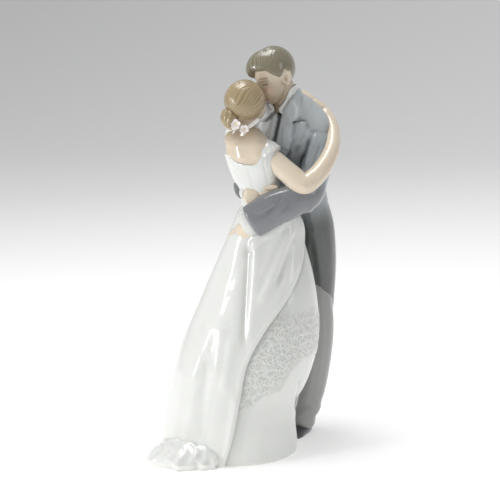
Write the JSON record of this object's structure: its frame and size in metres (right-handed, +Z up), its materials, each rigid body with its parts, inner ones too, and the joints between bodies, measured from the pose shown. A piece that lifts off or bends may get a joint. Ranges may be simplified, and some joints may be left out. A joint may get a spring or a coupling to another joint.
{
  "type": "courting couple figurine",
  "caption": "Glazed porcelain figurine of an embracing bride and groom who kiss, standing on its own flat underside.",
  "frame": {"origin": "on the floor plane, under the middle of the figurine's bounding box", "axes": "+Z up from the floor to the groom's crown, +X to the right and +Y away as seen from behind the bride, the side the picture shows"},
  "size_m": [0.1474, 0.1296, 0.31],
  "materials": {
    "glazed_porcelain": "clear gloss glaze over painted porcelain: white gown, blue-grey coat, grey trousers, cream skin, brown hair"
  },
  "bodies": {
    "root": {"courting_couple": "glazed_porcelain"}
  },
  "joints": []
}
